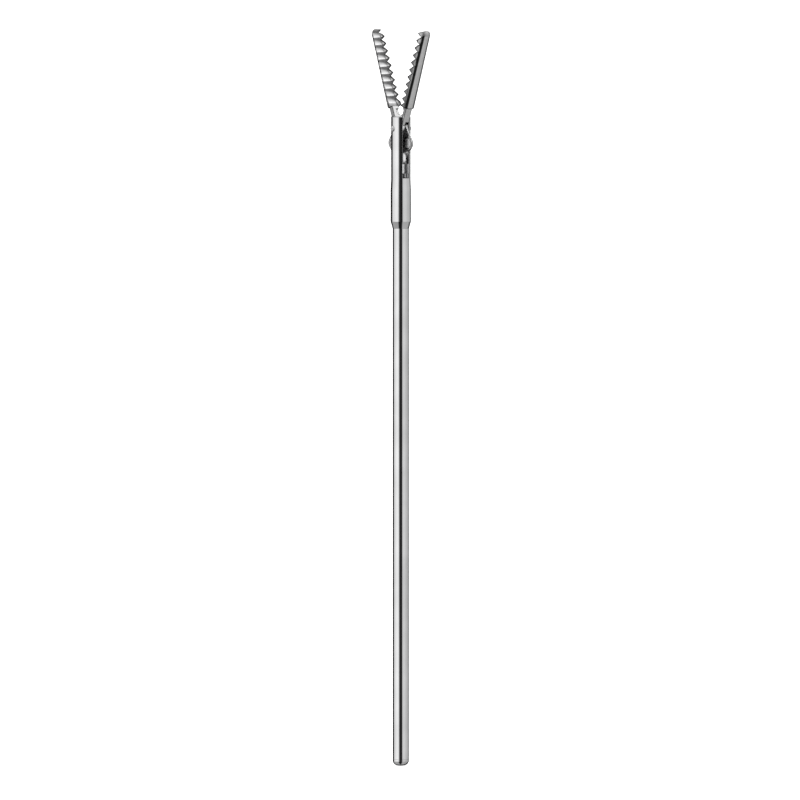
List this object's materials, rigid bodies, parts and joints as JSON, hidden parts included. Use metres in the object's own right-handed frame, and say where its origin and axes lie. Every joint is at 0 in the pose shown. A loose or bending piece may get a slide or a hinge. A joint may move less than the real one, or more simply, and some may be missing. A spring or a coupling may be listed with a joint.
{
  "type": "grasping forceps insert",
  "caption": "Slim straight instrument insert with two toothed jaws on one pivot, worked through links by a pull rod in the tube.",
  "frame": {"origin": "centre of the shaft's rear end", "axes": "+Z along the shaft towards the jaw tips, X the way the jaws open, Y along the jaw pivot"},
  "size_m": [0.0236, 0.0054, 0.1805],
  "materials": {
    "tube_steel": "polished stainless",
    "head_steel": "polished stainless",
    "jaw_steel": "ground and polished stainless",
    "link_steel": "satin stainless",
    "pin_steel": "riveted stainless",
    "rod_steel": "drawn stainless",
    "seal_rubber": "matt",
    "bush_plastic": "plain fluoropolymer"
  },
  "bodies": {
    "root": {"shaft_tube": "tube_steel", "end_plug": "tube_steel", "seal_ring": "seal_rubber", "rear_bush": "bush_plastic", "front_bush": "bush_plastic", "head": "head_steel", "pivot_pin": "pin_steel"},
    "rod": {"pull_rod": "rod_steel", "rod_tongue": "link_steel", "rod_pin": "pin_steel", "rod_guide_rear": "bush_plastic", "rod_guide_front": "bush_plastic"},
    "jaw_right": {"jaw_right": "jaw_steel", "tail_pin_right": "pin_steel"},
    "jaw_left": {"jaw_left": "jaw_steel", "tail_pin_left": "pin_steel"},
    "link_right": {"link_right": "link_steel"},
    "link_left": {"link_left": "link_steel"}
  },
  "joints": [
    {"name": "rod_pull", "type": "slide", "parent": "root", "child": "rod", "axis": [0, 0, -1], "range_m": [0, 0.00191]},
    {"name": "jaw_right_hinge", "type": "hinge", "parent": "root", "child": "jaw_right", "pos_m": [0, 0, 0.1563], "axis": [0, -1, 0], "range_deg": [0, 24]},
    {"name": "jaw_left_hinge", "type": "hinge", "parent": "root", "child": "jaw_left", "pos_m": [0, 0, 0.1563], "axis": [0, 1, 0], "range_deg": [0, 24]},
    {"name": "link_right_hinge", "type": "hinge", "parent": "jaw_right", "child": "link_right", "pos_m": [-0.00295, 0, 0.1528], "axis": [0, 1, 0], "range_deg": [0, 47.74]},
    {"name": "link_left_hinge", "type": "hinge", "parent": "jaw_left", "child": "link_left", "pos_m": [0.00295, 0, 0.1528], "axis": [0, -1, 0], "range_deg": [0, 47.74]}
  ],
  "couplings": [
    {"joint": "jaw_right_hinge", "follows": "rod_pull", "rad_per_m": 219.88},
    {"joint": "jaw_left_hinge", "follows": "rod_pull", "rad_per_m": 219.88},
    {"joint": "link_right_hinge", "follows": "rod_pull", "rad_per_m": 437.41},
    {"joint": "link_left_hinge", "follows": "rod_pull", "rad_per_m": 437.41}
  ]
}
